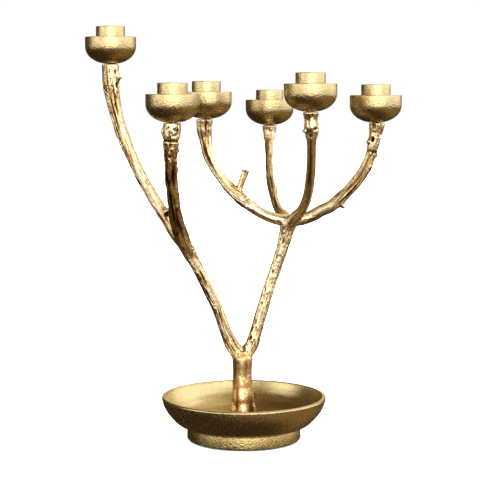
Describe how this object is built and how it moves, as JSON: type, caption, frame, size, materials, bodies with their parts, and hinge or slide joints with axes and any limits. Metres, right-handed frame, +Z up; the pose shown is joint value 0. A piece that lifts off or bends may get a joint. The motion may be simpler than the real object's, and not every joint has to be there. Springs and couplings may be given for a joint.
{
  "type": "candelabrum",
  "caption": "Twig candelabrum of cast brass: a forked tree on a shallow footed dish, with a round drip cup and a straight candle socket on the end of each branch.",
  "frame": {"origin": "on the dish's axis, at the underside of the foot", "axes": "+Z up; -Y towards the front, where the tall branch is on the left"},
  "size_m": [0.2844, 0.2142, 0.3751],
  "materials": {
    "satin_brass": "satin, fine sand-cast grain",
    "cast_brass": "polished cast bark",
    "steel": "plain",
    "felt": "felt"
  },
  "bodies": {
    "root": {"dish": "satin_brass", "foot_ring": "satin_brass", "foot_pad": "felt", "tie_washer": "steel", "tie_bolt": "steel", "trunk": "cast_brass", "limb_left": "cast_brass", "limb_right": "cast_brass", "branch_a": "cast_brass", "branch_b": "cast_brass", "branch_c": "cast_brass", "branch_d": "cast_brass", "branch_e": "cast_brass", "branch_f": "cast_brass", "drip_cup_a": "satin_brass", "candle_socket_a": "satin_brass", "cup_stud_a": "steel", "drip_cup_b": "satin_brass", "candle_socket_b": "satin_brass", "cup_stud_b": "steel", "drip_cup_c": "satin_brass", "candle_socket_c": "satin_brass", "cup_stud_c": "steel", "drip_cup_d": "satin_brass", "candle_socket_d": "satin_brass", "cup_stud_d": "steel", "drip_cup_e": "satin_brass", "candle_socket_e": "satin_brass", "cup_stud_e": "steel", "drip_cup_f": "satin_brass", "candle_socket_f": "satin_brass", "cup_stud_f": "steel"}
  },
  "joints": []
}
